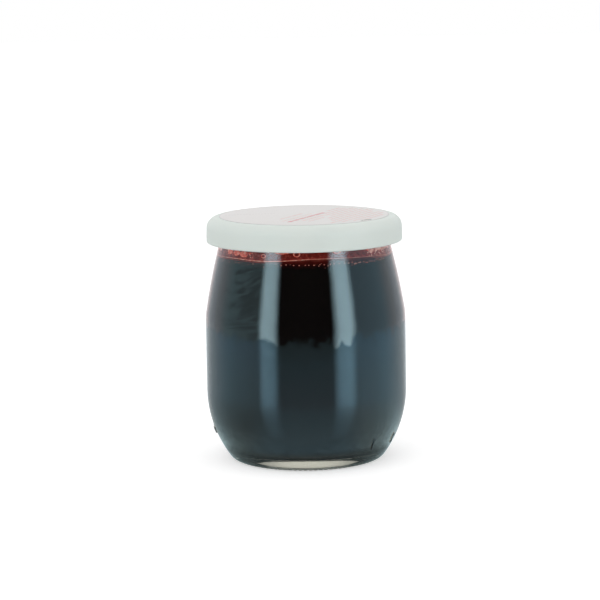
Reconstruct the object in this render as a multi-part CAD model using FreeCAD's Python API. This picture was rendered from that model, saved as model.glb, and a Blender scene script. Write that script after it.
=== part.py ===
"""Fruit coulis in a glass yoghurt-style jar, closed by a press-on plastic lid with a round paper label.

Four separate pieces, all in millimetres, +Z up, with the origin at the middle of the foot:
  jar     blown glass: knurled bearing ring, pushed-up punt, round bowl, straight belly, tapering shoulder, rim bead
  coulis  the fruit puree up to its level, with the meniscus that climbs the glass
  lid     soft plastic cap: panel, skirt, snap ridge that catches under the rim bead, sealing lip in the mouth
  label   round paper disc on the lid's panel

Every piece is turned about Z, so each profile is drawn in the XZ half plane as (radius, height) points.
"""

import FreeCAD
import Part

import math
import os

from FreeCAD import Vector

# ---- Jar: overall -----------------------------------------------------------------------------------------
jar_height = 80.2  # foot to rim
body_radius = 33.4  # outside of the belly
wall = 2.6  # glass thickness of bowl, belly and shoulder

# ---- Jar: bowl and foot -----------------------------------------------------------------------------------
bowl_height = 23.7  # where the bowl's curve has become the upright belly
bowl_arc = 37.9  # radius of the bowl's curve, seen from the side
heel_fillet = 3.6
foot_width = 4.4  # from the punt's edge to where the bowl would meet the table
punt_depth = 2.4  # how far the middle of the base is pushed up
punt_fillet = 0.8
floor_height = 5.0  # inside bottom above the table
floor_fillet = 12.0

# ---- Jar: shoulder and neck -------------------------------------------------------------------------------
shoulder_height = 26.1  # top of the belly to the neck
shoulder_step = 5.0  # how far the neck stands in from the belly
knee_arc = 27.0  # radius of the quick turn where the shoulder begins
knee_angle = 9.3  # degrees that it turns
neck_height = 3.1  # upright neck under the rim bead

# ---- Jar: rim bead ----------------------------------------------------------------------------------------
bead_height = 4.6
bead_overhang = 2.2  # how far the bead stands out from the neck
bead_top_fillet = 1.8
bead_low_fillet = 1.2
neck_fillet = 0.9
mouth_fillet = 1.0
neck_bore_fillet = 6.0  # softens the turn from the shoulder's inside to the upright bore

# ---- Jar: knurls on the bearing ring ----------------------------------------------------------------------
knurl_count = 90
knurl_width = 0.85
knurl_depth = 0.40  # how far the grooves between the knurls are cut up into the foot

# ---- Coulis -----------------------------------------------------------------------------------------------
headspace = 11.2  # rim down to the level surface
meniscus_height = 0.8
meniscus_width = 1.6
meniscus_edge = 0.12  # thickness of the film where the meniscus ends

# ---- Lid --------------------------------------------------------------------------------------------------
lid_panel = 1.3
lid_wall = 1.15
lid_gap = 0.85  # rim bead to the skirt's inside
lid_flare = 0.2  # how much wider the skirt is at its lower edge
lid_top_fillet = 3.6
lid_inner_fillet = 1.4
lid_edge_fillet = 0.55
snap_bite = 0.5  # how far the ridge reaches in past the bead
snap_gap = 0.35  # free height between bead and ridge
snap_height = 1.5
skirt_tail = 0.65  # snap ridge to the skirt's lower edge
lip_clearance = 0.15  # mouth to the sealing lip
lip_wall = 0.9
lip_depth = 2.4

# ---- Label ------------------------------------------------------------------------------------------------
label_margin = 4.2  # lid's upper edge to the label
label_thickness = 0.15

# ---- Sizes that follow ------------------------------------------------------------------------------------
neck_radius = body_radius - shoulder_step
bead_radius = neck_radius + bead_overhang
bead_underside = jar_height - bead_height
neck_foot = bead_underside - neck_height  # where the shoulder ends
belly_top = neck_foot - shoulder_height
bowl_centre = body_radius - bowl_arc
coulis_level = jar_height - headspace
lid_top = jar_height + lid_panel
ridge_top = bead_underside - snap_gap
lid_bottom = ridge_top - snap_height - skirt_tail
skirt_inside = bead_radius + lid_gap
lid_outside = skirt_inside + lid_wall
label_radius = lid_outside - lid_flare - label_margin


def arc(start, middle, end):
    """Edge of the round arc through three (radius, height) points."""
    return Part.Arc(*(Vector(r, 0, z) for r, z in (start, middle, end))).toShape()


def line(start, end):
    """Straight edge between two (radius, height) points."""
    return Part.LineSegment(*(Vector(r, 0, z) for r, z in (start, end))).toShape()


def chain(points):
    """Straight edges from each point to the next."""
    return [line(a, b) for a, b in zip(points, points[1:])]


def turned(edges):
    """Solid made by turning a closed profile once round Z."""
    face = Part.Face(Part.Wire(Part.__sortEdges__(edges)))
    return face.revolve(Vector(0, 0, 0), Vector(0, 0, 1), 360).removeSplitter()


def rounded(solid, radius, circle_radius, height):
    """Fillets the circular edge that has this radius and lies at this height."""
    near = 0.01
    edges = []
    for edge in solid.Edges:
        if edge.Degenerated or not isinstance(edge.Curve, Part.Circle):
            continue
        if abs(edge.Curve.Radius - circle_radius) < near and abs(edge.Curve.Center.z - height) < near:
            edges.append(edge)
    return solid.makeFillet(radius, edges)


def on_circle(centre, radius, angle):
    """Point of a circle at an angle in radians above the outward direction."""
    return (centre[0] + radius * math.cos(angle), centre[1] + radius * math.sin(angle))


def side_curves(inset):
    """The jar's side, moved inwards by inset: bowl arc, belly, knee arc and shoulder arc, from the foot up.

    Returns the centre and radius of each arc with the angles at which it starts and ends.
    """
    bowl = ((bowl_centre, bowl_height), bowl_arc - inset, None, 0.0)

    knee_centre = (body_radius - knee_arc, belly_top)
    turn = math.radians(knee_angle)
    knee = (knee_centre, knee_arc - inset, 0.0, turn)

    # The shoulder goes on tangent to the knee and ends at the neck.
    start = on_circle(knee_centre, knee_arc, turn)
    inward = (-math.cos(turn), -math.sin(turn))
    across = (neck_radius - start[0], neck_foot - start[1])
    reach = across[0] * inward[0] + across[1] * inward[1]
    shoulder_arc = (across[0] ** 2 + across[1] ** 2) / (2 * reach)
    centre = (start[0] + shoulder_arc * inward[0], start[1] + shoulder_arc * inward[1])
    rise = (neck_foot - centre[1]) / shoulder_arc
    shoulder = (centre, shoulder_arc - inset, turn, math.asin(rise))
    return bowl, knee, shoulder


def side_edges(inset, lowest):
    """Edges of the jar's side, inset by that much, from the height lowest up to the neck, and their two ends."""
    bowl, knee, shoulder = side_curves(inset)
    centre, radius, _, _ = bowl
    start_angle = math.asin((lowest - centre[1]) / radius)
    edges = []
    foot = on_circle(centre, radius, start_angle)
    belly_foot = on_circle(centre, radius, 0.0)
    edges.append(arc(foot, on_circle(centre, radius, start_angle / 2), belly_foot))
    belly_head = on_circle(knee[0], knee[1], 0.0)
    edges.append(line(belly_foot, belly_head))
    end = belly_head
    for centre, radius, a, b in (knee, shoulder):
        middle, end = on_circle(centre, radius, (a + b) / 2), on_circle(centre, radius, b)
        edges.append(arc(on_circle(centre, radius, a), middle, end))
    return edges, foot, end


def inside_radius(height):
    """Radius of the glass's inside on the shoulder at a height."""
    centre, radius, _, _ = side_curves(wall)[2]
    return centre[0] + radius * math.cos(math.asin((height - centre[1]) / radius))


def jar_outside():
    """Solid of the whole outer form, with the punt and the rim bead."""
    side, foot, neck = side_edges(0.0, 0.0)
    punt_edge = (foot[0] - foot_width, 0.0)
    half_punt = punt_edge[0] / 2
    # A shallow dome: the point half way out lies a quarter of the depth below the middle.
    dome = arc((0, punt_depth), (half_punt, punt_depth * 0.75), punt_edge)
    finish = chain(
        [
            neck,
            (neck_radius, bead_underside),
            (bead_radius, bead_underside),
            (bead_radius, jar_height),
            (0, jar_height),
            (0, punt_depth),
        ]
    )
    solid = turned(side + finish + [dome, line(punt_edge, foot)])
    solid = rounded(solid, heel_fillet, foot[0], 0.0)
    solid = rounded(solid, punt_fillet, punt_edge[0], 0.0)
    solid = rounded(solid, neck_fillet, neck_radius, bead_underside)
    solid = rounded(solid, bead_low_fillet, bead_radius, bead_underside)
    return rounded(solid, bead_top_fillet, bead_radius, jar_height)


def cavity(top):
    """Solid of the room inside the glass, from its floor up to a height above the rim's underside."""
    side, floor_edge, neck = side_edges(wall, floor_height)
    closing = chain([neck, (neck[0], top), (0, top), (0, floor_height), floor_edge])
    solid = turned(side + closing)
    solid = rounded(solid, floor_fillet, floor_edge[0], floor_height)
    return rounded(solid, neck_bore_fillet, neck[0], neck[1])


def knurl_grooves():
    """Radial grooves across the bearing ring, which leave the knurls between them."""
    _, foot, _ = side_edges(0.0, 0.0)
    length = foot_width + 2 * heel_fillet
    pitch = 360.0 / knurl_count
    groove_width = 2 * math.pi * foot[0] / knurl_count - knurl_width
    blank = Part.makeBox(length, groove_width, knurl_depth + 1.0)
    blank.translate(Vector(foot[0] - foot_width - heel_fillet, -groove_width / 2, -1.0))
    grooves = []
    for i in range(knurl_count):
        groove = blank.copy()
        groove.rotate(Vector(0, 0, 0), Vector(0, 0, 1), (i + 0.5) * pitch)
        grooves.append(groove)
    return grooves


def make_jar(knurled=True):
    """Glass jar: the outer form less the room inside and less the grooves of the bearing ring."""
    above = 5.0
    room = cavity(jar_height + above)
    solid = jar_outside().cut(room)
    mouth_radius = side_edges(wall, floor_height)[2][0]
    solid = rounded(solid, mouth_fillet, mouth_radius, jar_height)
    if knurled:
        solid = solid.cut(knurl_grooves())
    return solid


def make_coulis():
    """Fruit puree: the room inside the glass up to the level, with a meniscus round the edge."""
    top = coulis_level + meniscus_height
    film = inside_radius(top) - meniscus_edge
    flat = inside_radius(coulis_level) - meniscus_width
    beyond = body_radius
    sag = 0.28  # how deep the meniscus curve hangs below the straight line between its ends
    middle = ((flat + film) / 2, coulis_level + meniscus_height * (0.5 - sag))
    outline = chain([(flat, coulis_level), (0, coulis_level), (0, 0), (beyond, 0), (beyond, top), (film, top)])
    below = turned(outline + [arc((film, top), middle, (flat, coulis_level))])
    return cavity(jar_height).common(below)


def make_lid():
    """Plastic lid, seated with its panel on the glass rim."""
    ridge_tip = bead_radius - snap_bite
    ridge_step = snap_height / 3
    mouth_radius = side_edges(wall, floor_height)[2][0]
    lip_outside = mouth_radius - lip_clearance
    lip_bottom = jar_height - lip_depth
    profile = chain(
        [
            (0, lid_top),
            (lid_outside - lid_flare, lid_top),
            (lid_outside, lid_bottom),
            (skirt_inside, lid_bottom),
            (skirt_inside, ridge_top - snap_height),
            (ridge_tip, ridge_top - 2 * ridge_step),
            (ridge_tip, ridge_top - ridge_step),
            (skirt_inside, ridge_top),
            (skirt_inside, jar_height),
            (lip_outside, jar_height),
            (lip_outside, lip_bottom),
            (lip_outside - lip_wall, lip_bottom),
            (lip_outside - lip_wall, jar_height),
            (0, jar_height),
            (0, lid_top),
        ]
    )
    solid = turned(profile)
    solid = rounded(solid, lid_top_fillet, lid_outside - lid_flare, lid_top)
    solid = rounded(solid, lid_inner_fillet, skirt_inside, jar_height)
    solid = rounded(solid, lid_edge_fillet, lid_outside, lid_bottom)
    return rounded(solid, lid_edge_fillet, skirt_inside, lid_bottom)


def make_label():
    """Round paper label on the middle of the panel."""
    return Part.makeCylinder(label_radius, label_thickness, Vector(0, 0, lid_top))


if __name__ == "__main__":
    os.makedirs("parts", exist_ok=True)
    pieces = {"jar": make_jar(), "coulis": make_coulis(), "lid": make_lid(), "label": make_label()}
    for name, shape in pieces.items():
        solids = shape.Solids
        print(name, "solids", len(solids), "valid", shape.isValid(), "volume", round(shape.Volume, 1))
        solids[0].exportStep(f"parts/{name}.step")
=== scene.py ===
# %% [markdown]
# # A glass pot of fruit coulis
# This lesson dresses a small glass dessert pot. The real one is pressed glass with a thick base and a
# knurled foot. Dark fruit puree fills it almost to the neck, and a soft plastic lid with a round paper
# label closes it. The pot, its contents and its lid are all round about one upright axis. So each of them
# is drawn as half a section and turned, which is how the mould for the real glass is cut.

import math
import random

import bmesh
import bpy
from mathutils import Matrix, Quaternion, Vector


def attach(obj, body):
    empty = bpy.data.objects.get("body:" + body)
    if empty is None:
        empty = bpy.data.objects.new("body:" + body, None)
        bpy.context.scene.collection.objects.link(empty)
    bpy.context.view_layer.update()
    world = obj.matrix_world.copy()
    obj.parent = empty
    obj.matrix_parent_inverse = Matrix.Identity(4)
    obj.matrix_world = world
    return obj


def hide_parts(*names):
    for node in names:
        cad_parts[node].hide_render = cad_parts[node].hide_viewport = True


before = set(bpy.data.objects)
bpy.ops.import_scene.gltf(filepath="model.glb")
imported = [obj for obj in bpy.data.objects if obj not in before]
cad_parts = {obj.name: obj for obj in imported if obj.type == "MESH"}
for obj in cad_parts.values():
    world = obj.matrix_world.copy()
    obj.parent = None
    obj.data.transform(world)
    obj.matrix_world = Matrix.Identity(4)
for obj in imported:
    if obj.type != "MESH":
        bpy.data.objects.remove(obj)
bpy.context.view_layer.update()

MM = 0.001
BODY = "root"
NEAR = 0.001  # millimetres within which two places are one
POLE_R = 0.6  # radius of the small ring that a section starts or ends with at the axis
print("nodes", sorted(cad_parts))


# %% [markdown]
# ## Drawing a section
# A section is a list of points, each a radius and a height in millimetres. Glass is never a string of
# straight lines, so two helpers do the drawing. One walks along an arc, and the other rounds the corners of
# a straight outline by cutting each of them back and fitting an arc that is tangent to both sides.

# %% Helpers that draw a section
def arc(centre, radius, start, end, step=0.9):
    """Points along an arc, with angles in degrees above the outward direction and a step in millimetres."""
    sweep = math.radians(end - start)
    count = max(2, round(abs(sweep) * radius / step))
    angles = [math.radians(start) + sweep * i / count for i in range(count + 1)]
    return [(centre[0] + radius * math.cos(a), centre[1] + radius * math.sin(a)) for a in angles]


def run(start, end, step=1.5):
    """Evenly spaced points along a straight stretch."""
    count = max(1, round(math.dist(start, end) / step))
    return [tuple(a + (b - a) * i / count for a, b in zip(start, end)) for i in range(count + 1)]


ALMOST_STRAIGHT = 1.56


def rounded(corners, steps=5):
    """Path through corners given as (radius, height, fillet). A fillet of 0 leaves the corner sharp."""
    path = [corners[0][:2]]
    for before, corner, after in zip(corners, corners[1:], corners[2:]):
        here, fillet = Vector(corner[:2]), corner[2]
        back = (Vector(before[:2]) - here).normalized()
        on = (Vector(after[:2]) - here).normalized()
        half = back.angle(on) / 2
        if fillet == 0 or half > ALMOST_STRAIGHT:
            path.append(tuple(here))
            continue
        reach = fillet / math.tan(half)
        centre = here + (back + on).normalized() * fillet / math.sin(half)
        first = here + back * reach - centre
        turn = first.angle_signed(here + on * reach - centre)
        for i in range(steps + 1):
            a = math.atan2(first.y, first.x) - turn * i / steps
            path.append((centre.x + fillet * math.cos(a), centre.y + fillet * math.sin(a)))
    path.append(corners[-1][:2])
    return path


def joined(*stretches, apart=0.02):
    """One path from several that follow each other, without the points that they share."""
    path = []
    for point in (p for stretch in stretches for p in stretch):
        if not path or math.dist(path[-1], point) > apart:
            path.append(point)
    return path


# %% [markdown]
# ## Turning a section
# Blender can turn a section with Spin. Here a ring does it the other way round: a circle is added at the
# first point, then extruded and scaled from point to point, as a potter raises a wall. Each ring keeps the
# same number of columns, so the knurls on the foot can be picked by counting columns, and there is no seam
# to close.

# %% Helpers that turn a section into a mesh
def select_only(piece):
    """Makes one piece the only selected and active one."""
    bpy.ops.object.select_all(action="DESELECT")
    piece.select_set(True)
    bpy.context.view_layer.objects.active = piece


def pick(piece, kind, test):
    """In edit mode, selects only the vertices or faces whose place passes the test."""
    bpy.ops.mesh.select_mode(type=kind)
    bpy.ops.mesh.select_all(action="DESELECT")
    mesh = bmesh.from_edit_mesh(piece.data)
    if kind == "FACE":
        for face in mesh.faces:
            face.select_set(test(face.calc_center_median() / MM))
    else:
        for vertex in mesh.verts:
            vertex.select_set(test(vertex.co / MM))
    mesh.select_flush_mode()
    bmesh.update_edit_mesh(piece.data)


def close_pole():
    """Closes the selected ring with a fan of faces that meet at its middle."""
    bpy.ops.mesh.extrude_region_move()
    bpy.ops.mesh.merge(type="CENTER")


def raised_ring(name, path, columns):
    """Adds a ring at a path's first point and extrudes it from point to point. It stays in edit mode."""
    bpy.ops.object.select_all(action="DESELECT")
    radius, height = path[0]
    bpy.ops.mesh.primitive_circle_add(vertices=columns, radius=radius * MM, location=(0, 0, height * MM))
    piece = bpy.context.object
    piece.name = piece.data.name = name
    bpy.ops.object.transform_apply(location=True)
    bpy.ops.object.mode_set(mode="EDIT")
    bpy.ops.mesh.select_mode(type="VERT")
    bpy.ops.mesh.select_all(action="SELECT")
    for here, there in zip(path, path[1:]):
        rise = (there[1] - here[1]) * MM
        grow = there[0] / here[0]
        bpy.ops.mesh.extrude_region_move(TRANSFORM_OT_translate={"value": (0, 0, rise)})
        bpy.ops.transform.resize(value=(grow, grow, 1), center_override=(0, 0, 0))
    return piece


def closed_mesh(piece):
    """Turns every face outwards and leaves edit mode."""
    bpy.ops.mesh.select_all(action="SELECT")
    bpy.ops.mesh.normals_make_consistent(inside=False)
    bpy.ops.object.mode_set(mode="OBJECT")
    print(piece.name, len(piece.data.vertices), "vertices", len(piece.data.polygons), "faces")
    return piece


def turned(name, outline, columns=252):
    """Raises a closed mesh from a section that starts and ends close to the axis."""
    piece = raised_ring(name, outline, columns)
    close_pole()
    radius, height = outline[0]
    pick(piece, "VERT", lambda p: abs(p.z - height) < NEAR and abs(p.xy.length - radius) < NEAR)
    close_pole()
    return closed_mesh(piece)


def turned_band(name, outline, columns=252):
    """Raises a closed ring from a section that stays clear of the axis."""
    piece = raised_ring(name, outline + outline[:1], columns)
    bpy.ops.mesh.select_all(action="SELECT")
    bpy.ops.mesh.remove_doubles(threshold=NEAR * MM)
    return closed_mesh(piece)


def smooth(piece, angle=35):
    """Smooth shading, with edges sharper than the angle in degrees left crisp."""
    select_only(piece)
    bpy.ops.object.shade_smooth_by_angle(angle=math.radians(angle))


def finish_piece(piece, material, slot, *replaced):
    """Gives a piece its material and puts it on the body in place of CAD nodes. The slot is not used."""
    piece.data.materials.clear()
    piece.data.materials.append(material)
    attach(piece, BODY)
    if replaced:
        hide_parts(*replaced)


# %% [markdown]
# ## Materials by nodes
# Each finish below is a Principled shader. Values that are the same all over the piece are set on its
# sockets, and only what varies over the surface comes from nodes. Patterns read Object coordinates, which
# are metres in these pieces, so a scale of 1000 makes features of about a millimetre.

# %% Helpers that build a node material
def new_finish(name, **sockets):
    """A Principled material with values set on its sockets, and the shader that further nodes plug into."""
    material = bpy.data.materials.new(name)
    material.use_nodes = True
    shader = material.node_tree.nodes["Principled BSDF"]
    for socket, value in sockets.items():
        shader.inputs[socket.replace("_", " ")].default_value = value
    return material, shader


def add_node(tree, kind, sockets=None, **settings):
    """Adds a node, sets its options, and plugs or sets its inputs."""
    made = tree.nodes.new(kind)
    for setting, value in settings.items():
        setattr(made, setting, value)
    for socket, value in (sockets or {}).items():
        if isinstance(value, bpy.types.NodeSocket):
            tree.links.new(value, made.inputs[socket])
        else:
            made.inputs[socket].default_value = value
    return made


def maths(tree, operation, *values):
    """Result of a maths node over numbers or sockets, in the order of its inputs."""
    return add_node(tree, "ShaderNodeMath", dict(enumerate(values)), operation=operation).outputs[0]


def place(tree):
    """The Object coordinate output."""
    return add_node(tree, "ShaderNodeTexCoord").outputs["Object"]


def noise(tree, per_metre, detail=2.0, roughness=0.5, where=None):
    """Value of a noise texture with that many features to the metre."""
    sockets = {"Vector": where or place(tree), "Scale": per_metre, "Detail": detail, "Roughness": roughness}
    return add_node(tree, "ShaderNodeTexNoise", sockets).outputs["Fac"]


def ramp(tree, value, *stops):
    """Colour ramp over a value, with stops given as (place, colour)."""
    made = add_node(tree, "ShaderNodeValToRGB", {"Fac": value})
    points = made.color_ramp.elements
    while len(points) < len(stops):
        points.new(0.5)
    for point, (position, colour) in zip(points, stops):
        point.position = position
        point.color = (*colour, 1)
    return made.outputs["Color"]


def bump(tree, shader, height, distance, strength=1.0):
    """Bump from a height value, with its depth in millimetres."""
    sockets = {"Height": height, "Distance": distance * MM, "Strength": strength}
    made = add_node(tree, "ShaderNodeBump", sockets)
    tree.links.new(made.outputs["Normal"], shader.inputs["Normal"])


# %% [markdown]
# ## The glass
# Pressed glass is clear, with a trace of green. It is not as true as a window pane: the mould and the cooling
# leave slow waves that make every reflection waver. A faint, wide bump does that without changing the
# outline.

# %% Glass finish
glass, shader = new_finish(
    "pressed_glass", Base_Color=(0.97, 0.978, 0.93, 1), Roughness=0.0, IOR=1.5, Transmission_Weight=1.0
)
tree = glass.node_tree
bump(tree, shader, noise(tree, 120, detail=2), 0.12, 0.3)
print("finish", glass.name)

# %% [markdown]
# ## The pot
# The section runs from the middle of the foot outwards. It crosses the pushed-up base and the ring that the
# pot stands on, then follows the round bowl, the upright belly and the tapering shoulder to the bead that
# the lid grips. From there it goes back down inside at the thickness of the wall. The sizes are those of
# the CAD model.

# %% Sizes of the pot
BODY_R, WALL = 33.4, 2.6
BOWL_Z, BOWL_ARC = 23.7, 37.9
BELLY_TOP, KNEE_ARC, KNEE_TURN = 46.4, 27.0, 9.3
NECK_R, NECK_FOOT = 28.4, 72.5
BEAD_R, BEAD_LOW, RIM = 30.6, 75.6, 80.2
HEEL, FOOT_WIDTH, PUNT = 3.6, 4.4, 2.4
FLOOR, FLOOR_ROUND = 5.0, 12.0
KNURL_DEPTH = 0.4


def side(inset):
    """The side of the pot moved inwards by inset: arcs of the bowl, the knee and the shoulder."""
    bowl = ((BODY_R - BOWL_ARC, BOWL_Z), BOWL_ARC - inset)
    turn = math.radians(KNEE_TURN)
    middle = Vector((BODY_R - KNEE_ARC, BELLY_TOP))
    outward = Vector((math.cos(turn), math.sin(turn)))
    start = middle + KNEE_ARC * outward
    across = Vector((NECK_R, NECK_FOOT)) - start
    radius = across.length_squared / (2 * across.dot(-outward))
    centre = start - radius * outward
    end = math.degrees(math.asin((NECK_FOOT - centre.y) / radius))
    knee = (tuple(middle), KNEE_ARC - inset)
    return bowl, knee, (tuple(centre), radius - inset), end


def upper_side(inset):
    """The belly, knee and shoulder of the side, from the top of the bowl to the neck."""
    _, knee, shoulder, end = side(inset)
    belly = run((BODY_R - inset, BOWL_Z), (BODY_R - inset, BELLY_TOP), 2.2)
    return joined(belly, arc(*knee, 0, KNEE_TURN, 0.5), arc(*shoulder, KNEE_TURN, end, 1.2))


def bowl_over(height, fillet, inset):
    """Round corner between a level floor and the bowl, then the bowl itself up to the belly."""
    centre, radius = side(inset)[0]
    fillet_z = height + fillet
    fillet_r = centre[0] + math.sqrt((radius - fillet) ** 2 - (fillet_z - centre[1]) ** 2)
    meet = math.degrees(math.atan2(fillet_z - centre[1], fillet_r - centre[0]))
    corner = arc((fillet_r, fillet_z), fillet, -90, meet, min(0.9, fillet / 5))
    return joined(corner, arc(centre, radius, meet, 0, 0.8))


# %% Section of the pot
foot_r = BODY_R - BOWL_ARC + math.sqrt(BOWL_ARC**2 - BOWL_Z**2)
ring_r = foot_r - FOOT_WIDTH
punt_arc = (ring_r**2 + PUNT**2) / (2 * PUNT)
punt_centre = (0, PUNT - punt_arc)
punt_edge = math.degrees(math.acos(ring_r / punt_arc))
punt = arc(punt_centre, punt_arc, 89.6, punt_edge, 1.6)

outside = joined(punt, bowl_over(0, HEEL, 0), upper_side(0))
inside = joined(bowl_over(FLOOR, FLOOR_ROUND, WALL), upper_side(WALL))
bore = inside[-1][0]
bead = rounded(
    [
        (NECK_R, NECK_FOOT, 0),
        (NECK_R, BEAD_LOW, 0.9),
        (BEAD_R, BEAD_LOW, 1.2),
        (BEAD_R, RIM, 1.8),
        (bore, RIM, 1.0),
        inside[-1] + (0,),
    ]
)
pot_section = joined(outside, bead, inside[::-1], [(POLE_R, FLOOR)])
print("pot section", len(pot_section), "points, bore", round(bore, 2))

# %% Turn the pot
POT_COLUMNS = 360
pot = turned("pot_glass", pot_section, POT_COLUMNS)


# %% [markdown]
# ## Knurls and mould marks
# The ring that a pot stands on is knurled, so that hot glass touches the conveyor in few places. On the
# ring and a little way up the heel, two columns of faces in every four are pressed in. Round the heel a few
# raised strokes stand where a mould has its marks. They are plain bars: faces of one or more columns, inset
# and lifted. In the real glass these small steps turn the light aside and look black, so their faces get
# painted shade, an opaque dark finish. The crowns of the knurls get painted light instead: a pale, matt,
# opaque ivory finish that stands for the pale light seen through the base.

# %% Press in the knurls and lift the marks
COLUMN = 360 / POT_COLUMNS
KNURL_TOP = 0.6
GROOVE_FROM, CROWN_FROM = ring_r - 0.1, foot_r - 2.0
MARKS = [(-44.7, 1, 6.2, 9.8), (-20.7, 1, 6.2, 9.8), (-174.5, 3, 9.2, 11.2), (178.0, 1, 9.2, 11.2)]
ON_BOWL = 0.6  # a face as near as this to the bowl's arc lies on its outside
STEP_SLOT, CROWN_SLOT = 1, 2


def column_of(point):
    """Number of the column of faces that a point lies in."""
    return math.floor(math.degrees(math.atan2(point.y, point.x)) % 360 / COLUMN)


def on_knurl_groove(point):
    """True on the faces between two knurls."""
    return point.z < KNURL_TOP and point.xy.length > GROOVE_FROM and column_of(point) % 4 in (1, 2)


def on_knurl_crown(point):
    """True on the outer faces of the knurls."""
    return point.z < KNURL_TOP and point.xy.length > CROWN_FROM and column_of(point) % 4 in (0, 3)


def on_mark(point):
    """True on the outside faces that one of the raised strokes covers."""
    off_bowl = BOWL_ARC - Vector((point.xy.length - (BODY_R - BOWL_ARC), point.z - BOWL_Z)).length
    for bearing, columns, low, high in MARKS:
        first = math.floor(bearing % 360 / COLUMN)
        if low < point.z < high and abs(off_bowl) < ON_BOWL and 0 <= column_of(point) - first < columns:
            return True
    return False


def press(test, slot, inset=0.0, depth=0.0):
    """Insets and moves the pot's faces that pass a test, where an inset is given, and sets their slot."""
    pick(pot, "FACE", test)
    print(test.__name__, sum(f.select for f in bmesh.from_edit_mesh(pot.data).faces), "faces")
    if inset:
        bpy.ops.mesh.inset(thickness=inset * MM, depth=depth * MM)
    pot.active_material_index = slot
    bpy.ops.object.material_slot_assign()


# Painted shade: an opaque dark finish for the pressed-in grooves and the marks. Painted light: an opaque pale
# ivory finish for the knurls' crowns.
step_shade, _ = new_finish("glass_step_shade", Base_Color=(0.025, 0.028, 0.028, 1), Roughness=0.35)
crown_painted_light, _ = new_finish("glass_crown_painted_light", Base_Color=(0.55, 0.54, 0.46, 1), Roughness=0.6)
finish_piece(pot, glass, "clear_glass", "jar")
pot.data.materials.append(step_shade)
pot.data.materials.append(crown_painted_light)
select_only(pot)
bpy.ops.object.mode_set(mode="EDIT")
press(on_knurl_crown, CROWN_SLOT)
press(on_knurl_groove, STEP_SLOT, 0.05, -KNURL_DEPTH)
press(on_mark, STEP_SLOT, 0.12, 0.4)
bpy.ops.object.mode_set(mode="OBJECT")
smooth(pot)
print("pot", len(pot.data.polygons), "faces")

# %% [markdown]
# ## The coulis
# The puree is so dark that it looks black through the glass. Only where it thins out against the wall at
# the top does its red show. Its mesh reaches a little way into the glass, because a gap of air between the
# two would show as a silver skin. The red edge comes from the height of a point, wavered by noise.

# %% Coulis finish
DARK_PUREE = (0.0035, 0.0018, 0.0022)
LEVEL, FILM_TOP = 69.0, 69.8

coulis_finish, shader = new_finish("fruit_coulis", Roughness=0.3, IOR=1.1)
tree = coulis_finish.node_tree
where = place(tree)
height = add_node(tree, "ShaderNodeSeparateXYZ", {"Vector": where}).outputs["Z"]
waver = noise(tree, 420, detail=3, where=where)
wavered = maths(tree, "MULTIPLY_ADD", waver, 0.0016, height)
fade = add_node(
    tree,
    "ShaderNodeMapRange",
    {"Value": wavered, "From Min": (LEVEL - 1.2) * MM, "From Max": (FILM_TOP + 1.0) * MM},
)
edge_colour = ramp(
    tree,
    fade.outputs[0],
    (0.0, DARK_PUREE),
    (0.4, (0.03, 0.002, 0.0018)),
    (0.75, (0.13, 0.008, 0.006)),
    (1.0, (0.30, 0.06, 0.045)),
)
tree.links.new(edge_colour, shader.inputs["Base Color"])
bump(tree, shader, noise(tree, 260, detail=2), 0.04, 0.5)
print("finish", coulis_finish.name)

# %% Turn the coulis
INTO_GLASS = 0.12
FILM_T = 0.12
MENISCUS_W, CREEP = 1.6, 2.2


def wall_inside(height):
    """Radius of the glass's inside on the shoulder."""
    _, _, (centre, radius), _ = side(WALL)
    return centre[0] + math.sqrt(radius**2 - (height - centre[1]) ** 2)


below = [point for point in inside if point[1] < LEVEL - 1.0]
grown = []
for before, point, after in zip(below[:1] + below, below, below[1:] + below[-1:]):
    along = (Vector(after) - Vector(before)).normalized()
    grown.append(tuple(Vector(point) + INTO_GLASS * Vector((along.y, -along.x))))
film_heights = [LEVEL - 0.6, LEVEL - 0.2, LEVEL + 0.2, LEVEL + 0.5, FILM_TOP]
film = [(wall_inside(z) + INTO_GLASS, z) for z in film_heights]
film_r = wall_inside(FILM_TOP) - FILM_T
flat_r = wall_inside(LEVEL) - MENISCUS_W
meniscus = []
for share in (1, 0.9, 0.78, 0.62, 0.45, 0.25, 0):
    meniscus.append((flat_r + (film_r - flat_r) * share, LEVEL + (FILM_TOP - LEVEL) * share**CREEP))
surface = run((flat_r, LEVEL), (POLE_R, LEVEL), 1.5)
coulis = turned("coulis_fill", joined([(POLE_R, FLOOR - INTO_GLASS)], grown, film, meniscus, surface))

# %% [markdown]
# A puree never settles dead level. The middle of its surface is shaken a little with Randomize and smoothed
# again, which leaves shallow swells.

# %% Unsettle the surface
select_only(coulis)
bpy.ops.object.mode_set(mode="EDIT")
pick(coulis, "VERT", lambda p: p.z > LEVEL - 0.01 and p.xy.length < flat_r - 1)
bpy.ops.transform.vertex_random(offset=0.9 * MM, uniform=0.0, normal=1.0, seed=4)
for _ in range(12):
    bpy.ops.mesh.vertices_smooth(factor=0.5)
bpy.ops.object.mode_set(mode="OBJECT")


def lap(point):
    """How far, in millimetres, the film's edge stands above its mean height at the bearing of a point."""
    b = math.atan2(point.x, -point.y)
    slow = 0.15 * math.cos(b) + 0.2 * math.sin(b) + 0.55 * math.cos(2 * b)
    return slow - 0.55 + 0.25 * math.sin(4 * b) + 0.1 * math.cos(7 * b)


def unit(value):
    """A value held between 0 and 1."""
    return min(1.0, max(0.0, value))


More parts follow.
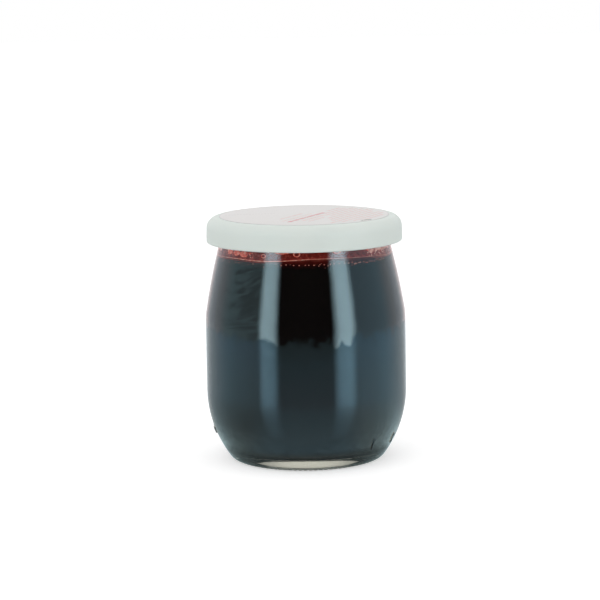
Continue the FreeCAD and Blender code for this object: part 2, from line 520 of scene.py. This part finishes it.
LAP_BELOW, LAP_SPAN, LAP_INWARD = 1.5, 2.3, 3
for vertex in coulis.data.vertices:
    radius, height = vertex.co.xy.length / MM, vertex.co.z / MM
    near_wall = unit((radius - flat_r + LAP_INWARD) / LAP_INWARD)
    share = unit((height - LEVEL + LAP_BELOW) / LAP_SPAN) * near_wall
    if share > 0:
        lifted = height + lap(vertex.co) * share
        wider = 1 + share * (wall_inside(lifted) - wall_inside(height)) / radius
        vertex.co = Vector((vertex.co.x * wider, vertex.co.y * wider, lifted * MM))
tops = [v.co.z / MM for v in coulis.data.vertices if v.co.xy.length < flat_r * MM and v.co.z > 60 * MM]
print("surface from", round(min(tops), 2), "to", round(max(tops), 2), "mm")
smooth(coulis)
finish_piece(coulis, coulis_finish, "fruit_puree", "coulis")
BASE_FILM = 0.25
base_finish, _ = new_finish("coulis_on_glass", Base_Color=(*DARK_PUREE, 1), Roughness=0.04, IOR=1.7)
coulis.data.materials.append(base_finish)
for face in coulis.data.polygons:
    if face.center.z < (FLOOR + BASE_FILM) * MM:
        face.material_index = 1

# %% [markdown]
# ## Smear, tide line and bubbles
# A full pot is tipped and shaken before it is sold, so the glass above the puree wears a thin red smear. A
# pale line of froth marks where the puree meets the glass, with bubbles caught against the wall. The smear
# and the line are bands turned like the pot. A bubble pressed on glass shows as a ring, so the larger ones
# are flattened tori, and the froth is copies of one flattened sphere.

# %% Finishes of the smear and the froth
smear_finish, shader = new_finish("puree_smear", Roughness=0.3, IOR=1.3)
tree = smear_finish.node_tree
patches = noise(tree, 700, detail=4, roughness=0.7)
smear_colour = ramp(
    tree, patches, (0.30, (0.21, 0.011, 0.006)), (0.52, (0.42, 0.028, 0.018)), (0.72, (0.72, 0.13, 0.10))
)
tree.links.new(smear_colour, shader.inputs["Base Color"])
bump(tree, shader, noise(tree, 1500, detail=3), 0.05, 0.6)


def froth(name, deep, middle, pale):
    """Wet froth whose colour wanders between three tints, with a faint glow in them that is painted light."""
    # The glow is painted light, standing for the light that passes through the bubbles.
    material, shader = new_finish(name, Roughness=0.2, IOR=1.33, Emission_Strength=0.22)
    tree = material.node_tree
    tint = ramp(tree, noise(tree, 900, detail=4), (0.34, deep), (0.5, middle), (0.64, pale))
    tree.links.new(tint, shader.inputs["Base Color"])
    tree.links.new(tint, shader.inputs["Emission Color"])
    print("finish", name)
    return material


salmon_froth = froth("salmon_froth", (0.72, 0.16, 0.12), (0.92, 0.32, 0.25), (1.0, 0.52, 0.43))
red_froth = froth("red_froth", (0.60, 0.06, 0.04), (0.95, 0.18, 0.13), (1.0, 0.40, 0.32))
pale_froth = froth("pale_froth", (0.50, 0.14, 0.12), (0.85, 0.40, 0.35), (0.98, 0.64, 0.58))


# %% Smear above the puree
def follow_lap(piece, steady):
    """Moves a band along the wall so that its lower part follows the lap, and all above a height stays."""
    for vertex in piece.data.vertices:
        height = vertex.co.z / MM
        lifted = height + lap(vertex.co) * unit((steady - height) / (steady - FILM_TOP))
        if lifted != height:
            wider = 1 + (wall_inside(lifted) - wall_inside(height)) * MM / vertex.co.xy.length
            vertex.co = Vector((vertex.co.x * wider, vertex.co.y * wider, lifted * MM))


SMEAR_LOW, SMEAR_TOP = FILM_TOP - 0.5, 76.6
SMEAR_HALF = 0.1  # half of the smear's thickness
SMEAR_STEPS = 8
heights = [SMEAR_LOW + i * (NECK_FOOT - SMEAR_LOW) / SMEAR_STEPS for i in range(SMEAR_STEPS + 1)]
above = [(wall_inside(z), z) for z in heights] + [(bore, SMEAR_TOP)]
smear_section = [(r + SMEAR_HALF, z) for r, z in above] + [(r - SMEAR_HALF, z) for r, z in above[::-1]]
smear = turned_band("wall_smear", smear_section)
follow_lap(smear, NECK_FOOT)
smooth(smear)
finish_piece(smear, smear_finish, "fruit_puree")

# %% Tide line
LINE_HALF_W, LINE_HALF_H, LINE_THINNEST = 0.16, 0.15, 0.45
LINE_SECTION_ANGLES = (0, 1.05, 2.09, 3.14, 4.19, 5.24)
line_r = wall_inside(FILM_TOP) + 0.06
line_section = []
for a in LINE_SECTION_ANGLES:
    line_section.append((line_r + LINE_HALF_W * math.cos(a), FILM_TOP + LINE_HALF_H * math.sin(a)))
tide_line = turned_band("tide_line", line_section)
for vertex in tide_line.data.vertices:
    radius = vertex.co.xy.length
    bearing = math.atan2(vertex.co.x, -vertex.co.y)
    thicker = unit((math.cos(bearing + 0.4) - 0.65) / 0.3)
    share = LINE_THINNEST + (1 - LINE_THINNEST) * thicker
    wider = (line_r * MM + (radius - line_r * MM) * share) / radius
    height = FILM_TOP * MM + (vertex.co.z - FILM_TOP * MM) * share
    vertex.co = Vector((vertex.co.x * wider, vertex.co.y * wider, height))
follow_lap(tide_line, NECK_FOOT)
smooth(tide_line, 80)
finish_piece(tide_line, salmon_froth, "fruit_puree")


# %% Helper that presses copies of one shape on the glass
FLATNESS = 0.45  # depth of a bubble on the glass, as a share of its lesser side


def on_glass(name, first, spots, material, proud=0.0):
    """Copies of a shape leaning with the wall, each at (bearing from the front, height, width, tallness)."""
    made = []
    for bearing, height, width, tall in spots:
        bubble = first.copy()
        bubble.data = first.data.copy()
        bpy.context.collection.objects.link(bubble)
        a = math.radians(bearing - 90)
        r = (wall_inside(height) + proud) * MM
        bubble.location = (r * math.cos(a), r * math.sin(a), height * MM)
        bubble.rotation_euler = (0, math.atan(wall_inside(height + 0.5) - wall_inside(height - 0.5)), a)
        bubble.scale = (FLATNESS * min(width, tall), width, tall)
        made.append(bubble)
    bpy.data.objects.remove(first)
    bpy.ops.object.select_all(action="DESELECT")
    for bubble in made:
        bubble.select_set(True)
    bpy.context.view_layer.objects.active = made[0]
    bpy.ops.object.join()
    piece = bpy.context.object
    piece.name = piece.data.name = name
    bpy.ops.object.transform_apply(location=True, rotation=True, scale=True)
    smooth(piece, 80)
    finish_piece(piece, material, "fruit_puree")
    print(name, len(spots), "copies", len(piece.data.polygons), "faces")
    return piece


def small_ball(detail):
    """A sphere 1 mm across to copy."""
    bpy.ops.object.select_all(action="DESELECT")
    bpy.ops.mesh.primitive_ico_sphere_add(subdivisions=detail, radius=MM / 2)
    return bpy.context.object


def small_ring():
    """A ring 1 mm across, standing as a bubble's rim does on upright glass, to copy."""
    bpy.ops.object.select_all(action="DESELECT")
    bpy.ops.mesh.primitive_torus_add(
        major_segments=32,
        minor_segments=8,
        major_radius=0.41 * MM,
        minor_radius=0.09 * MM,
        rotation=(0, math.pi / 2, 0),
    )
    bpy.ops.object.transform_apply(rotation=True)
    return bpy.context.object


# %% Rings, froth and single bubbles
chance = random.Random(11)


def round_the_back(count, widths, tallnesses):
    """Places for bubbles behind the front of the pot, with their sizes drawn from two ranges."""
    spots = []
    for _ in range(count):
        bearing, height = chance.uniform(95, 275), chance.uniform(70.0, 71.2)
        spots.append((bearing, height, chance.uniform(*widths), chance.uniform(*tallnesses)))
    return spots


rings = [(-29.5, 70.9, 1.8, 1.4), (-16, 72.9, 6.0, 2.4), (-5.5, 71.8, 2.3, 2.0), (23, 72.5, 2.8, 2.0)]
rings += round_the_back(16, (1.2, 3.0), (1.2, 2.2))
on_glass("wall_rings", small_ring(), rings, red_froth, SMEAR_HALF)

drops = [(-62, 71.4, 3.2, 2.4), (-54, 71.2, 3.2, 2.2), (-46.5, 71.0, 3.8, 2.1)]
drops += [(-41, 71.5, 1.2, 1.0), (49, 71.9, 1.2, 1.0)]
drops += round_the_back(20, (0.8, 2.6), (0.8, 2.0))
for _ in range(36):
    size = chance.uniform(0.2, 0.4)
    drops.append((chance.uniform(-86, -38), chance.uniform(70.1, 72.4), size * 1.2, size))
on_glass("wall_drops", small_ball(3), drops, red_froth, SMEAR_HALF)

foam = [(-79, 71.2, 2.6, 2.0)]
for bearing in range(52, 96, 5):
    height = 71.5 + chance.uniform(-0.4, 0.4)
    foam.append((bearing, height, chance.uniform(2.4, 3.4), chance.uniform(1.5, 2.3)))
for _ in range(160):
    size = chance.uniform(0.2, 0.5)
    foam.append((chance.uniform(48, 96), chance.uniform(69.5, 73.2), size, size * chance.uniform(0.8, 1.3)))
on_glass("wall_foam", small_ball(3), foam, pale_froth, SMEAR_HALF)

# %% Tiny bubbles under the tide line
tiny = []
for _ in range(70):
    size = chance.uniform(0.12, 0.26)
    tiny.append((chance.uniform(-180, 180), LEVEL - chance.uniform(0.2, 1.8), size, size))
for bearing in [-16, -13, -7, -4, 0, 3, 6, 10, 13, 17, 20, 24, 28, 31]:
    tiny.append((bearing + chance.uniform(-0.5, 0.5), LEVEL - 0.7 + chance.uniform(-0.15, 0.15), 0.42, 0.28))
for bearing in range(33, 66, 2):
    tiny.append((bearing + chance.uniform(-0.8, 0.8), LEVEL - 1.0 + chance.uniform(-0.3, 0.5), 0.36, 0.3))
on_glass("wall_tiny_bubbles", small_ball(2), tiny, salmon_froth, INTO_GLASS)

# %% [markdown]
# ## The lid
# The lid is soft, milky polyethylene. It is moulded in one piece: a flat panel, a skirt with a ridge inside
# it that springs over the glass bead, and a thin lip that plugs the mouth. Light goes some way into it,
# which subsurface scattering gives, and its surface has the faint grain of the mould.

# %% Lid finish
milky, shader = new_finish(
    "milky_plastic",
    Roughness=0.6,
    IOR=1.4,
    Subsurface_Weight=0.35,
    Subsurface_Radius=(1.0, 1.0, 0.95),
    Subsurface_Scale=0.0016,
)
tree = milky.node_tree
cloud = ramp(tree, noise(tree, 60, detail=3), (0.3, (0.745, 0.805, 0.76)), (0.7, (0.775, 0.83, 0.78)))
tree.links.new(cloud, shader.inputs["Base Color"])
bump(tree, shader, noise(tree, 2600, detail=2), 0.03, 0.4)
print("finish", milky.name)

# %% Turn the lid
LID_TOP, LID_LOW = 81.5, 73.1
LID_R, LID_EDGE_R = 32.6, 32.4
SKIRT_IN = LID_R - 1.15
RIDGE_STEP = 0.5
RIDGE_TOP, RIDGE_IN = BEAD_LOW - 0.35, BEAD_R - 0.5
LIP_R, LIP_WALL, LIP_LOW = bore - 0.15, 0.9, RIM - 2.4
panel_r = LIP_R - LIP_WALL - 1

lid_section = joined(
    run((POLE_R, RIM), (panel_r, RIM), 3),
    rounded(
        [
            (panel_r, RIM, 0),
            (LIP_R - LIP_WALL, RIM, 0),
            (LIP_R - LIP_WALL, LIP_LOW, 0.2),
            (LIP_R, LIP_LOW, 0.2),
            (LIP_R, RIM, 0),
            (SKIRT_IN, RIM, 1.4),
            (SKIRT_IN, RIDGE_TOP, 0),
            (RIDGE_IN, RIDGE_TOP - RIDGE_STEP, 0.15),
            (RIDGE_IN, RIDGE_TOP - 2 * RIDGE_STEP, 0.15),
            (SKIRT_IN, RIDGE_TOP - 3 * RIDGE_STEP, 0),
            (SKIRT_IN, LID_LOW, 0.45),
            (LID_R, LID_LOW, 0.6),
            (LID_EDGE_R, LID_TOP, 3.6),
            (POLE_R, LID_TOP, 0),
        ],
        steps=8,
    ),
)
lid = turned("lid_cap", lid_section)
smooth(lid)
finish_piece(lid, milky, "translucent_plastic", "lid")

# %% [markdown]
# ## The label
# A round paper label lies on the panel. Its print is a plain pattern of bars. They lie in rows that run the
# same way, as lines of small type would, with a row of dots and one dash at other angles, and none of it is
# lettering. The bars are thin slabs, one piece for each ink.

# %% Paper finish
paper, shader = new_finish("coated_paper", Roughness=0.5)
tree = paper.node_tree
where = place(tree)
flat_place = add_node(tree, "ShaderNodeVectorMath", {0: where, 1: (1, 1, 0)}, operation="MULTIPLY")
from_axis = add_node(tree, "ShaderNodeVectorMath", {0: flat_place.outputs[0]}, operation="LENGTH")
rim_range = {"Value": from_axis.outputs["Value"], "From Min": 0.0277, "From Max": 0.0281}
rim_line = add_node(tree, "ShaderNodeMapRange", rim_range, interpolation_type="SMOOTHSTEP")
speckle = noise(tree, 1400, detail=4, where=where)
fibres = ramp(tree, speckle, (0.3, (0.755, 0.735, 0.715)), (0.7, (0.785, 0.765, 0.745)))
rim_colours = {"Factor": rim_line.outputs[0], "A": fibres, "B": (0.66, 0.65, 0.635, 1)}
edged = add_node(tree, "ShaderNodeMix", rim_colours, data_type="RGBA")
tree.links.new(edged.outputs["Result"], shader.inputs["Base Color"])
bump(tree, shader, noise(tree, 3000, detail=3), 0.015, 0.4)
print("finish", paper.name)

# %% Label disc
LABEL_R, LABEL_T = 28.2, 0.15
PRINT_TOP = LID_TOP + LABEL_T
label_section = rounded(
    [(POLE_R, LID_TOP, 0), (LABEL_R, LID_TOP, 0), (LABEL_R, PRINT_TOP, 0.05), (POLE_R, PRINT_TOP, 0)], 3
)
label = turned("label_disc", label_section, columns=180)
smooth(label)
finish_piece(label, paper, "label_paper", "label")


# %% Bars of print
def ink(name, colour):
    """Matt printing ink with a slightly uneven coat."""
    material, shader = new_finish(name, Roughness=0.55)
    tree = material.node_tree
    lighter = tuple(min(1, c * 1.25 + 0.02) for c in colour)
    coat = ramp(tree, noise(tree, 2500, detail=3), (0.35, colour), (0.75, lighter))
    tree.links.new(coat, shader.inputs["Base Color"])
    return material


BAR_T, BAR_SUNK, BAR_BEVEL = 0.03, 0.005, 0.008


def bars(name, material, slabs):
    """Slabs lying on the label, each given as (middle x, middle y, length, width, direction in degrees)."""
    bpy.ops.object.select_all(action="DESELECT")
    made = []
    for x, y, length, width, direction in slabs:
        middle = (x * MM, y * MM, (PRINT_TOP + BAR_T / 2 - BAR_SUNK) * MM)
        bpy.ops.mesh.primitive_cube_add(size=MM, location=middle, rotation=(0, 0, math.radians(direction)))
        bpy.context.object.scale = (length, width, BAR_T)
        made.append(bpy.context.object)
    for slab in made:
        slab.select_set(True)
    if len(made) > 1:
        bpy.ops.object.join()
    piece = bpy.context.object
    piece.name = piece.data.name = name
    bpy.ops.object.transform_apply(location=True, rotation=True, scale=True)
    bpy.ops.object.mode_set(mode="EDIT")
    bpy.ops.mesh.select_all(action="SELECT")
    bpy.ops.mesh.bevel(offset=BAR_BEVEL * MM, segments=1)
    bpy.ops.object.mode_set(mode="OBJECT")
    finish_piece(piece, material, "label_paper")
    print(name, len(slabs), "bars")
    return piece


# %% [markdown]
# A row is told by three numbers: how far it is from the middle, and where along it its bars start and end.
# A row of small type is a run of short bars of uneven length, and a bar that would leave its block or the
# label is left out.

# %% Rows of bars
SLANT = 64.5
PRINT_R = 26.4
ALONG = Vector((math.cos(math.radians(SLANT)), math.sin(math.radians(SLANT))))
ACROSS = Vector((ALONG.y, -ALONG.x))
lengths = random.Random(5)


def row(offset, start, end, width, left=-99.0):
    """Uneven bars along one row, all of them right of the line x = left and on the label."""
    made = []
    at = start
    while at < end:
        length = lengths.uniform(1.3, 4.2)
        middle = ACROSS * offset + ALONG * (at + length / 2)
        half = ALONG * length / 2
        on_label = (middle + half).length < PRINT_R and (middle - half).length < PRINT_R
        if middle.x > left and on_label:
            made.append((middle.x, middle.y, length, width, SLANT))
        at += length + lengths.uniform(0.5, 1.0)
    return made


bars("label_bars_bold", ink("ink_red", (0.64, 0.34, 0.35)), row(4.0, -20.0, 5.2, 1.3))
SHORT_ROWS = [
    (-1.9, -14.0, -1.2, 0.8),
    (1.2, -19.0, 2.0, 0.55),
    (6.9, -15.5, 0.5, 0.9),
    (9.4, -16.0, -4.0, 0.8),
]
thin_rows = [bar for short_row in SHORT_ROWS for bar in row(*short_row)]
for i in range(11):
    thin_rows += row(3.2 + 2.15 * i, -22.0, 22.0, 0.85, left=7.4 + 0.25 * i)
bars("label_bars_thin", ink("ink_pink", (0.71, 0.56, 0.54)), thin_rows)
dots = [(-26 + 1.0 * i, 1.4 + 0.2 * i, 0.5, 0.25, 10) for i in range(17)]
bars("label_dots", ink("ink_grey", (0.58, 0.57, 0.56)), dots)
bars("label_dash", ink("ink_green", (0.10, 0.16, 0.12)), [(20.2, -17.0, 4.2, 0.8, 36)])

# %% [markdown]
# ## The studio
# The pot stands on a white, slightly glossy table that ends about 0.3 m away, with a dark room in front,
# pale walls to the sides and two tall lamps. Clear and dark things are lit by what they mirror, so most of
# this studio is there for glossy rays alone. The camera sees plain white behind the pot.

# %% World
world = bpy.data.worlds.new("studio_room")
bpy.context.scene.world = world
world.use_nodes = True
tree = world.node_tree
tree.nodes.clear()


def background(tree, colour, strength):
    """Light of one colour from everywhere."""
    made = add_node(tree, "ShaderNodeBackground", {"Color": colour, "Strength": strength})
    return made.outputs[0]


def mixed(tree, factor, first, second):
    """Mix of two shaders."""
    made = add_node(tree, "ShaderNodeMixShader", {0: factor, 1: first, 2: second})
    return made.outputs[0]


def between(tree, value, low, high, out_low=0.0, out_high=1.0):
    """Smooth step of a value from low to high, which may themselves come from nodes."""
    sockets = {"Value": value, "From Min": low, "From Max": high, "To Min": out_low, "To Max": out_high}
    return add_node(tree, "ShaderNodeMapRange", sockets, interpolation_type="SMOOTHSTEP").outputs[0]


def bearing_of(tree, vector):
    """Parts of a place or direction, its reach sideways, and its angle from the front, alike left and right."""
    parts = add_node(tree, "ShaderNodeSeparateXYZ", {"Vector": vector}).outputs
    sideways = maths(tree, "ABSOLUTE", parts["X"])
    forward = maths(tree, "MULTIPLY", parts["Y"], -1.0)
    return parts, sideways, maths(tree, "ARCTAN2", sideways, forward)


rays = add_node(tree, "ShaderNodeLightPath").outputs
direction = add_node(tree, "ShaderNodeTexCoord").outputs["Generated"]
split, sideways, bearing = bearing_of(tree, direction)
dark_front = background(tree, (0.75, 0.9, 1.0, 1), 0.018)
left_wall = background(tree, (0.56, 0.86, 0.94, 1), 1.15)
left_clutter = background(tree, (0.5, 0.72, 0.78, 1), 0.85)
right_wall = background(tree, (0.64, 1.0, 1.2, 1), 1.05)
rear_wall = background(tree, (0.88, 0.98, 1.06, 1), 1.0)
far_rear = background(tree, (1.15, 1.08, 1.1, 1), 1.0)
white = background(tree, (1, 1, 1, 1), 1.0)
ivory = background(tree, (1, 0.975, 0.87, 1), between(tree, sideways, 0.1, 0.6, 0.9, 0.5))
slant = maths(tree, "MULTIPLY_ADD", bearing, 0.17, split["Z"])
along = maths(tree, "MULTIPLY", bearing, 0.03)
streak_place = add_node(tree, "ShaderNodeCombineXYZ", {"X": along, "Y": slant}).outputs[0]
streaks = between(tree, noise(tree, 42, detail=3, roughness=0.6, where=streak_place), 0.38, 0.54)
left_wall = mixed(tree, streaks, left_clutter, left_wall)
side_wall = mixed(tree, between(tree, split["X"], -0.1, 0.1), left_wall, right_wall)
walls = mixed(tree, between(tree, bearing, math.radians(36), math.radians(46)), dark_front, side_wall)
room = mixed(tree, between(tree, bearing, math.radians(95), math.radians(125)), walls, rear_wall)
room = mixed(tree, between(tree, bearing, math.radians(140), math.radians(160)), room, far_rear)
soft = background(tree, (1, 1, 1, 1), 0.85)
seen = mixed(tree, rays["Is Glossy Ray"], soft, room)
seen = mixed(tree, rays["Is Transmission Ray"], seen, ivory)
seen = mixed(tree, rays["Is Camera Ray"], seen, white)
add_node(tree, "ShaderNodeOutputWorld", {"Surface": seen})
print("world", world.name)

# %% [markdown]
# The table is one plane. The camera sees it as white with a soft shadow under the pot. In the glass it
# shows as painted light: a glow whose colour and strength follow distance and bearing from the pot, with a
# painted shadow next to the pot, under a cool white gloss that dimly mirrors the lamps.

# %% Table
TABLE_EDGE, EDGE_WANDER = 0.29, 0.16
bpy.ops.object.select_all(action="DESELECT")
bpy.ops.mesh.primitive_plane_add(size=1, location=(0, 1.1, 0))
table = bpy.context.object
table.name = "table_top"
table.scale = (3.4, 3.8, 1)
bpy.ops.object.transform_apply(location=True, scale=True)
gloss = bpy.data.materials.new("table_gloss")
gloss.use_nodes = True
tree = gloss.node_tree
tree.nodes.clear()
rays = add_node(tree, "ShaderNodeLightPath").outputs
matt = add_node(tree, "ShaderNodeBsdfDiffuse", {"Color": (0.8, 0.8, 0.8, 1)}).outputs[0]
lift = add_node(tree, "ShaderNodeEmission", {"Color": (1, 1, 1, 1), "Strength": 0.5}).outputs[0]
seen_white = add_node(tree, "ShaderNodeAddShader", {0: matt, 1: lift}).outputs[0]

where = place(tree)
reach = add_node(tree, "ShaderNodeVectorMath", {0: where}, operation="LENGTH").outputs["Value"]
bright = add_node(tree, "ShaderNodeEmission", {"Color": (0.88, 0.86, 0.77, 1)}).outputs[0]
parts, _, bearing = bearing_of(tree, where)


def blended(tree, factor, first, second):
    """Mix of two colours."""
    made = add_node(tree, "ShaderNodeMix", {"Factor": factor, "A": first, "B": second}, data_type="RGBA")
    return made.outputs["Result"]


# Painted light: in the glass the table glows in colours graded by distance and side, and the last stop of each
# ramp is a painted shadow beside the pot.
near_range = {"Value": reach, "From Min": 0.28, "From Max": 0.03}
nearness = add_node(tree, "ShaderNodeMapRange", near_range).outputs[0]
front = ramp(
    tree, nearness, (0, (0.19, 0.33, 0.37)), (0.2, (0.28, 0.48, 0.57)), (0.55, (0.40, 0.58, 0.68)),
    (0.85, (0.49, 0.78, 0.91)), (0.985, (0.62, 0.97, 1.12)), (1, (0.30, 0.40, 0.40)),
)
left = ramp(
    tree, nearness, (0.0, (0.47, 0.76, 0.98)), (0.35, (0.50, 0.77, 0.90)), (0.75, (0.48, 0.68, 0.73)),
    (0.9, (0.46, 0.63, 0.66)), (0.98, (0.60, 0.82, 0.84)), (1, (0.30, 0.40, 0.40)),
)
right = ramp(
    tree, nearness, (0.0, (0.60, 1.02, 1.3)), (0.35, (0.66, 1.04, 1.22)), (0.75, (0.78, 1.10, 1.20)),
    (0.9, (0.80, 1.10, 1.16)), (0.98, (0.84, 1.12, 1.15)), (1, (0.30, 0.40, 0.40)),
)
rear = ramp(
    tree, nearness, (0.0, (0.54, 0.58, 0.56)), (0.5, (0.46, 0.49, 0.47)), (0.75, (0.40, 0.43, 0.41)),
    (0.98, (0.36, 0.41, 0.39)), (1, (0.25, 0.30, 0.29)),
)
by_side = blended(tree, between(tree, parts["X"], -0.03, 0.03), left, right)
shade = blended(tree, between(tree, bearing, math.radians(25), math.radians(60)), front, by_side)
shade = blended(tree, between(tree, bearing, math.radians(90), math.radians(140)), shade, rear)
# A noise varies the strength of this painted glow at random.
glow_mottle = between(tree, noise(tree, 260, detail=5, roughness=0.7, where=where), 0.3, 0.7, 0.84, 1.16)
painted_table_glow = add_node(tree, "ShaderNodeEmission", {"Color": shade, "Strength": glow_mottle}).outputs[0]
mirror_look = {"Color": (0.8, 1.0, 1.15, 1), "Roughness": 0.10}
mirrored = add_node(tree, "ShaderNodeBsdfGlossy", mirror_look).outputs[0]
grazing = add_node(tree, "ShaderNodeFresnel", {"IOR": 1.35}).outputs[0]
sheen = add_node(tree, "ShaderNodeMixShader", {0: grazing, 2: mirrored}).outputs[0]
lit = add_node(tree, "ShaderNodeAddShader", {0: painted_table_glow, 1: sheen}).outputs[0]
clear = add_node(tree, "ShaderNodeBsdfTransparent").outputs[0]
cloud = noise(tree, 16, detail=4, roughness=0.6, where=where)
ragged = maths(tree, "MULTIPLY_ADD", cloud, EDGE_WANDER, reach)
off_lamp = maths(tree, "ABSOLUTE", maths(tree, "SUBTRACT", bearing, math.radians(44)))
blur = between(tree, off_lamp, math.radians(14), math.radians(34), 0.007, 0.022)
edge_low = maths(tree, "SUBTRACT", TABLE_EDGE + EDGE_WANDER / 2, blur)
edge_high = maths(tree, "ADD", TABLE_EDGE + EDGE_WANDER / 2, blur)
past_edge = between(tree, ragged, edge_low, edge_high)
in_glass = mixed(tree, past_edge, lit, clear)
mixed_table = mixed(tree, rays["Is Glossy Ray"], matt, in_glass)
mixed_table = mixed(tree, rays["Is Transmission Ray"], mixed_table, bright)
mixed_table = mixed(tree, rays["Is Camera Ray"], mixed_table, seen_white)
add_node(tree, "ShaderNodeOutputMaterial", {"Surface": mixed_table})
table.data.materials.append(gloss)


# %% Tall lamps that show in the glass
def strip_lamp(name, bearing, width, strength):
    """A tall glowing panel that only glossy rays see, at a bearing from the front. It dims to clear."""
    bpy.ops.object.select_all(action="DESELECT")
    a = math.radians(bearing)
    reach = 1.0
    spot = (reach * math.sin(a), -reach * math.cos(a), 0.15)
    bpy.ops.mesh.primitive_plane_add(size=1, location=spot, rotation=(math.pi / 2, 0, a))
    panel = bpy.context.object
    panel.name = name
    panel.scale = (2 * reach * math.tan(math.radians(width / 2)), 1.5, 1)
    bpy.ops.object.transform_apply(location=True, rotation=True, scale=True)
    glow = bpy.data.materials.new(name + "_glow")
    glow.use_nodes = True
    tree = glow.node_tree
    tree.nodes.clear()
    spread = add_node(tree, "ShaderNodeTexCoord").outputs["UV"]
    across = add_node(tree, "ShaderNodeSeparateXYZ", {"Vector": spread}).outputs["X"]
    from_middle = maths(tree, "ABSOLUTE", maths(tree, "SUBTRACT", across, 0.5))
    glow_out = between(tree, from_middle, 0.5, 0.15, 0.0, strength)
    light = add_node(tree, "ShaderNodeEmission", {"Color": (0.66, 0.96, 1.07, 1), "Strength": glow_out})
    behind = add_node(tree, "ShaderNodeBsdfTransparent").outputs[0]
    both = add_node(tree, "ShaderNodeAddShader", {0: light.outputs[0], 1: behind}).outputs[0]
    add_node(tree, "ShaderNodeOutputMaterial", {"Surface": both})
    panel.data.materials.append(glow)
    panel.visible_camera = panel.visible_diffuse = panel.visible_transmission = panel.visible_shadow = False
    return panel


strip_lamp("lamp_left", -43, 29, 6.0)
strip_lamp("lamp_right", 45, 33, 6.7)

# %% Soft key light
bpy.ops.object.light_add(type="AREA", location=(-0.5, -0.9, 1.3))
key = bpy.context.object
key.name = "key_light"
key.data.shape = "RECTANGLE"
key.data.size, key.data.size_y = 1.0, 1.0
key.data.energy = 1.5
key.rotation_euler = (Vector((0, 0, 0.04)) - key.location).to_track_quat("-Z", "Y").to_euler()
key.visible_glossy = False

# %% [markdown]
# ## The camera
# A long lens from a little above, turned by under a degree so that the pot does not stand quite level.

# %% Camera
bpy.ops.object.camera_add(location=(0, -0.8, 0.177))
camera = bpy.context.object
AIM = Vector((-0.00178, 0, 0.05297))
camera.rotation_mode = "QUATERNION"
look = (AIM - camera.location).to_track_quat("-Z", "Y")
camera.rotation_quaternion = look @ Quaternion((0, 0, 1), -0.0161)
camera.data.lens = 145.42
camera.data.sensor_width = 36
camera.data.clip_start = 0.05
bpy.context.scene.camera = camera
bpy.context.scene.view_settings.view_transform = "Standard"
